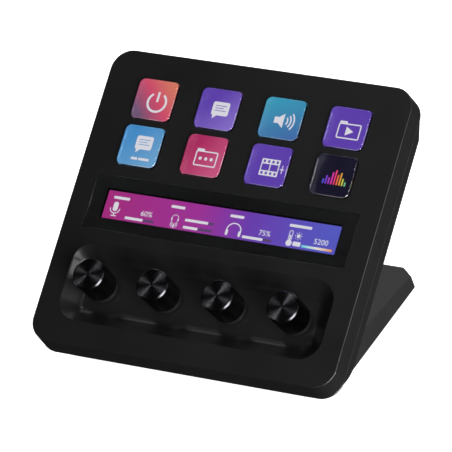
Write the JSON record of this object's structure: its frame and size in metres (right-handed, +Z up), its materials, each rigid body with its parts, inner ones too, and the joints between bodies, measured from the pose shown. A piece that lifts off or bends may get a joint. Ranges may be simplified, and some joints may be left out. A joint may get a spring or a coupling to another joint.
{
  "type": "macro keypad with dials",
  "caption": "Leaning desk keypad: lit clear push keys, a lit touch strip and a row of turn-and-push dials in a dish, on a flat wedge foot.",
  "frame": {"origin": "on the desk, under the middle of the keypad's box", "axes": "+X to the user's right, +Y away from the user, +Z up"},
  "size_m": [0.14, 0.138, 0.1094],
  "materials": {
    "case_black": "fine matt texture",
    "stand_black": "fine matt texture",
    "touch_glass": "black glass with a clear lit strip",
    "clear_key": "clear gloss caps over lit pictures",
    "black_silicone": "matt silicone",
    "display_glass": "display panel, lit",
    "guide_acrylic": "milky light guide",
    "bright_steel": "pressed and turned steel",
    "inner_plastic": "black moulded inner parts",
    "board_green": "solder-masked board",
    "chip_black": "moulded chips and connectors",
    "flex_amber": "polyimide ribbon",
    "black_steel": "blackened screws",
    "bracket_steel": "black coated steel",
    "pad_rubber": "soft rubber pads",
    "dial_plastic": "satin black ring",
    "dial_aluminium": "black anodised, spun top and knurled side"
  },
  "bodies": {
    "housing": {"base_screws": "black_steel", "board_parts": "chip_black", "case_screws": "black_steel", "dial_board": "board_green", "dial_flex": "flex_amber", "display_cell": "display_glass", "display_flex": "flex_amber", "display_tray": "bright_steel", "encoder_bush_1": "bright_steel", "encoder_bush_2": "bright_steel", "encoder_bush_3": "bright_steel", "encoder_bush_4": "bright_steel", "encoder_case_1": "inner_plastic", "encoder_case_2": "inner_plastic", "encoder_case_3": "inner_plastic", "encoder_case_4": "inner_plastic", "encoder_nuts": "bright_steel", "foot_pads": "pad_rubber", "frame_screws": "bright_steel", "front_bezel": "case_black", "key_mat": "black_silicone", "light_guide": "guide_acrylic", "main_board": "board_green", "mid_frame": "inner_plastic", "push_domes": "bright_steel", "rear_cover": "case_black", "stand_base": "stand_black", "stand_bracket": "bracket_steel", "stand_foot": "stand_black", "stand_neck": "stand_black", "stand_screws": "black_steel", "touch_glass": "touch_glass", "usb_socket": "bright_steel"},
    "key_1": {"key_cap_1": "clear_key"},
    "key_2": {"key_cap_2": "clear_key"},
    "key_3": {"key_cap_3": "clear_key"},
    "key_4": {"key_cap_4": "clear_key"},
    "key_5": {"key_cap_5": "clear_key"},
    "key_6": {"key_cap_6": "clear_key"},
    "key_7": {"key_cap_7": "clear_key"},
    "key_8": {"key_cap_8": "clear_key"},
    "dial_push_1": {"push_slider_1": "inner_plastic"},
    "dial_1": {"dial_shaft_1": "bright_steel", "dial_core_1": "dial_plastic", "dial_cap_1": "dial_aluminium"},
    "dial_push_2": {"push_slider_2": "inner_plastic"},
    "dial_2": {"dial_shaft_2": "bright_steel", "dial_core_2": "dial_plastic", "dial_cap_2": "dial_aluminium"},
    "dial_push_3": {"push_slider_3": "inner_plastic"},
    "dial_3": {"dial_shaft_3": "bright_steel", "dial_core_3": "dial_plastic", "dial_cap_3": "dial_aluminium"},
    "dial_push_4": {"push_slider_4": "inner_plastic"},
    "dial_4": {"dial_shaft_4": "bright_steel", "dial_core_4": "dial_plastic", "dial_cap_4": "dial_aluminium"}
  },
  "joints": [
    {"name": "key_1_press", "type": "slide", "parent": "housing", "child": "key_1", "axis": [0, 0.7373, -0.6756], "range_m": [0, 0.0008], "stiffness_N_per_m": 700},
    {"name": "key_2_press", "type": "slide", "parent": "housing", "child": "key_2", "axis": [0, 0.7373, -0.6756], "range_m": [0, 0.0008], "stiffness_N_per_m": 700},
    {"name": "key_3_press", "type": "slide", "parent": "housing", "child": "key_3", "axis": [0, 0.7373, -0.6756], "range_m": [0, 0.0008], "stiffness_N_per_m": 700},
    {"name": "key_4_press", "type": "slide", "parent": "housing", "child": "key_4", "axis": [0, 0.7373, -0.6756], "range_m": [0, 0.0008], "stiffness_N_per_m": 700},
    {"name": "key_5_press", "type": "slide", "parent": "housing", "child": "key_5", "axis": [0, 0.7373, -0.6756], "range_m": [0, 0.0008], "stiffness_N_per_m": 700},
    {"name": "key_6_press", "type": "slide", "parent": "housing", "child": "key_6", "axis": [0, 0.7373, -0.6756], "range_m": [0, 0.0008], "stiffness_N_per_m": 700},
    {"name": "key_7_press", "type": "slide", "parent": "housing", "child": "key_7", "axis": [0, 0.7373, -0.6756], "range_m": [0, 0.0008], "stiffness_N_per_m": 700},
    {"name": "key_8_press", "type": "slide", "parent": "housing", "child": "key_8", "axis": [0, 0.7373, -0.6756], "range_m": [0, 0.0008], "stiffness_N_per_m": 700},
    {"name": "dial_1_press", "type": "slide", "parent": "housing", "child": "dial_push_1", "axis": [0, 0.7373, -0.6756], "range_m": [0, 0.0005], "stiffness_N_per_m": 5000},
    {"name": "dial_1_turn", "type": "hinge", "parent": "dial_push_1", "child": "dial_1", "pos_m": [-0.0447, -0.0502, 0.03285], "axis": [0, -0.7373, 0.6756], "continuous": true},
    {"name": "dial_2_press", "type": "slide", "parent": "housing", "child": "dial_push_2", "axis": [0, 0.7373, -0.6756], "range_m": [0, 0.0005], "stiffness_N_per_m": 5000},
    {"name": "dial_2_turn", "type": "hinge", "parent": "dial_push_2", "child": "dial_2", "pos_m": [-0.0149, -0.0502, 0.03285], "axis": [0, -0.7373, 0.6756], "continuous": true},
    {"name": "dial_3_press", "type": "slide", "parent": "housing", "child": "dial_push_3", "axis": [0, 0.7373, -0.6756], "range_m": [0, 0.0005], "stiffness_N_per_m": 5000},
    {"name": "dial_3_turn", "type": "hinge", "parent": "dial_push_3", "child": "dial_3", "pos_m": [0.0149, -0.0502, 0.03285], "axis": [0, -0.7373, 0.6756], "continuous": true},
    {"name": "dial_4_press", "type": "slide", "parent": "housing", "child": "dial_push_4", "axis": [0, 0.7373, -0.6756], "range_m": [0, 0.0005], "stiffness_N_per_m": 5000},
    {"name": "dial_4_turn", "type": "hinge", "parent": "dial_push_4", "child": "dial_4", "pos_m": [0.0447, -0.0502, 0.03285], "axis": [0, -0.7373, 0.6756], "continuous": true}
  ]
}
